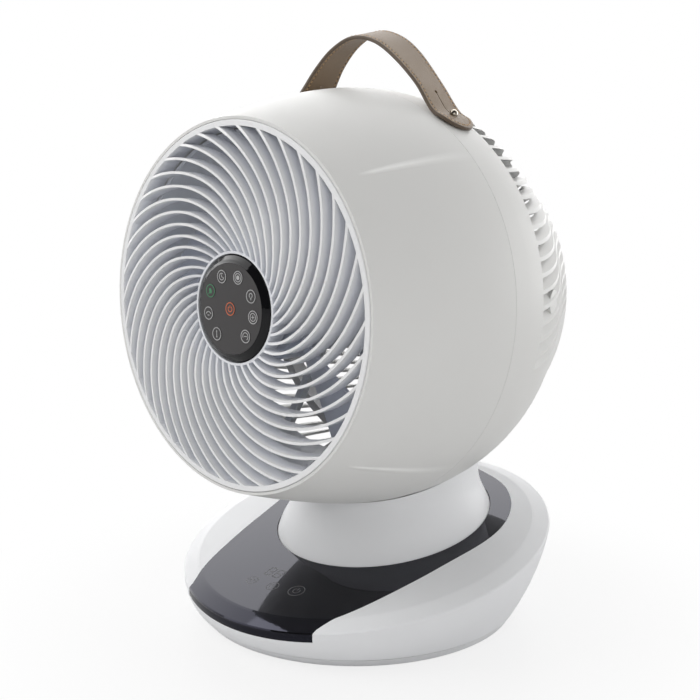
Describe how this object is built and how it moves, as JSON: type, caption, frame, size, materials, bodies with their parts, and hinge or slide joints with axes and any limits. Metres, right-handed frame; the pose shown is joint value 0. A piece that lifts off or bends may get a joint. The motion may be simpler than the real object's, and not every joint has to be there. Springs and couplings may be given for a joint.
{
  "type": "air circulator fan",
  "caption": "Desktop air circulator: round barrel head with curved front ribs and a magnetic disc remote, tilting and panning on a sloping base with a black touch panel.",
  "frame": {"origin": "centre of the base's bottom circle, on the floor under its middle foot", "axes": "front of the fan towards -Y, up +Z, +X to the right seen from the front"},
  "size_m": [0.3038, 0.2976, 0.431],
  "materials": {
    "housing_white": "matt off-white",
    "grille_white": "satin white",
    "inner_plastic": "light grey",
    "blade_plastic": "pale blue-grey",
    "panel_black": "mirror-gloss black",
    "remote_black": "gloss black",
    "remote_charcoal": "satin charcoal",
    "key_plastic": "satin charcoal with printed symbols",
    "strap_leather": "taupe, stitched",
    "steel": "satin",
    "zinc_screw": "zinc plated",
    "cast_metal": "as cast",
    "motor_case": "satin",
    "small_motor": "plated can",
    "gear_plastic": "natural acetal",
    "magnet": "nickel plated",
    "ballast_steel": "rough",
    "board_green": "circuit board",
    "jack_black": "black",
    "foot_rubber": "matt",
    "glide": "natural acetal"
  },
  "bodies": {
    "base": {"base_shell": "housing_white", "control_panel": "panel_black", "panel_board": "board_green", "base_cover": "housing_white", "rubber_feet": "foot_rubber", "cover_screws": "zinc_screw", "ballast_plate": "ballast_steel", "main_board": "board_green", "board_posts": "inner_plastic", "dc_inlet": "jack_black", "pan_motor": "small_motor", "pan_spindle": "steel", "pan_clip": "steel", "glide_ring": "glide"},
    "pan_pinion": {"pan_pinion": "gear_plastic"},
    "turret": {"neck": "housing_white", "stem_screws": "zinc_screw", "turntable": "inner_plastic", "turntable_screws": "zinc_screw", "pan_gear": "gear_plastic", "tilt_yoke": "cast_metal", "tilt_gear": "gear_plastic", "gear_screws": "zinc_screw"},
    "head": {"front_housing": "housing_white", "rear_housing": "housing_white", "front_grille": "grille_white", "grille_screws": "zinc_screw", "dock_magnet": "magnet", "duct_ring": "inner_plastic", "motor_mount": "inner_plastic", "mount_screws": "zinc_screw", "fan_motor": "motor_case", "motor_screws": "zinc_screw", "tilt_pins": "steel", "tilt_motor": "small_motor", "tilt_bracket": "steel", "bracket_screws": "zinc_screw", "strap_handle": "strap_leather", "strap_studs": "steel"},
    "tilt_pinion": {"tilt_pinion": "gear_plastic"},
    "fan": {"impeller": "blade_plastic", "motor_shaft": "steel", "impeller_nut": "jack_black"},
    "remote": {"remote_case": "remote_black", "remote_face": "remote_charcoal", "remote_board": "board_green", "remote_cell": "steel", "cell_door": "remote_black", "remote_plate": "steel"},
    "key_power": {"key_power": "key_plastic"},
    "key_timer": {"key_timer": "key_plastic"},
    "key_sleep": {"key_sleep": "key_plastic"},
    "key_light": {"key_light": "key_plastic"},
    "key_speed_up": {"key_speed_up": "key_plastic"},
    "key_speed_down": {"key_speed_down": "key_plastic"},
    "key_tilt_swing": {"key_tilt_swing": "key_plastic"},
    "key_pan_swing": {"key_pan_swing": "key_plastic"},
    "key_eco": {"key_eco": "key_plastic"}
  },
  "joints": [
    {"name": "head_pan", "type": "hinge", "parent": "base", "child": "turret", "pos_m": [0, 0.04, 0.03], "axis": [0, 0, 1], "range_deg": [-37.5, 37.5]},
    {"name": "pan_pinion_spin", "type": "hinge", "parent": "base", "child": "pan_pinion", "pos_m": [0.03773, 0.05373, 0.028], "axis": [0, 0, 1], "range_deg": [-116, 116]},
    {"name": "head_tilt", "type": "hinge", "parent": "turret", "child": "head", "pos_m": [0, 0.04, 0.2366], "axis": [-1, 0, 0], "range_deg": [0, 55]},
    {"name": "tilt_pinion_spin", "type": "hinge", "parent": "head", "child": "tilt_pinion", "pos_m": [-0.115, 0.00735, 0.2366], "axis": [-1, 0, 0], "range_deg": [-4, 188]},
    {"name": "fan_spin", "type": "hinge", "parent": "head", "child": "fan", "pos_m": [0, -0.078, 0.2366], "axis": [0, 1, 0], "continuous": true},
    {"name": "remote_pull", "type": "slide", "parent": "head", "child": "remote", "axis": [0, -1, 0], "range_m": [0, 0.06]},
    {"name": "key_power_press", "type": "slide", "parent": "remote", "child": "key_power", "axis": [0, 1, 0], "range_m": [0, 0.0006], "stiffness_N_per_m": 600, "springref_m": -0.001},
    {"name": "key_timer_press", "type": "slide", "parent": "remote", "child": "key_timer", "axis": [0, 1, 0], "range_m": [0, 0.0006], "stiffness_N_per_m": 600, "springref_m": -0.001},
    {"name": "key_sleep_press", "type": "slide", "parent": "remote", "child": "key_sleep", "axis": [0, 1, 0], "range_m": [0, 0.0006], "stiffness_N_per_m": 600, "springref_m": -0.001},
    {"name": "key_light_press", "type": "slide", "parent": "remote", "child": "key_light", "axis": [0, 1, 0], "range_m": [0, 0.0006], "stiffness_N_per_m": 600, "springref_m": -0.001},
    {"name": "key_speed_up_press", "type": "slide", "parent": "remote", "child": "key_speed_up", "axis": [0, 1, 0], "range_m": [0, 0.0006], "stiffness_N_per_m": 600, "springref_m": -0.001},
    {"name": "key_speed_down_press", "type": "slide", "parent": "remote", "child": "key_speed_down", "axis": [0, 1, 0], "range_m": [0, 0.0006], "stiffness_N_per_m": 600, "springref_m": -0.001},
    {"name": "key_tilt_swing_press", "type": "slide", "parent": "remote", "child": "key_tilt_swing", "axis": [0, 1, 0], "range_m": [0, 0.0006], "stiffness_N_per_m": 600, "springref_m": -0.001},
    {"name": "key_pan_swing_press", "type": "slide", "parent": "remote", "child": "key_pan_swing", "axis": [0, 1, 0], "range_m": [0, 0.0006], "stiffness_N_per_m": 600, "springref_m": -0.001},
    {"name": "key_eco_press", "type": "slide", "parent": "remote", "child": "key_eco", "axis": [0, 1, 0], "range_m": [0, 0.0006], "stiffness_N_per_m": 600, "springref_m": -0.001}
  ],
  "couplings": [
    {"joint": "pan_pinion_spin", "follows": "head_pan", "ratio": -3},
    {"joint": "tilt_pinion_spin", "follows": "head_tilt", "ratio": 3.3333}
  ]
}
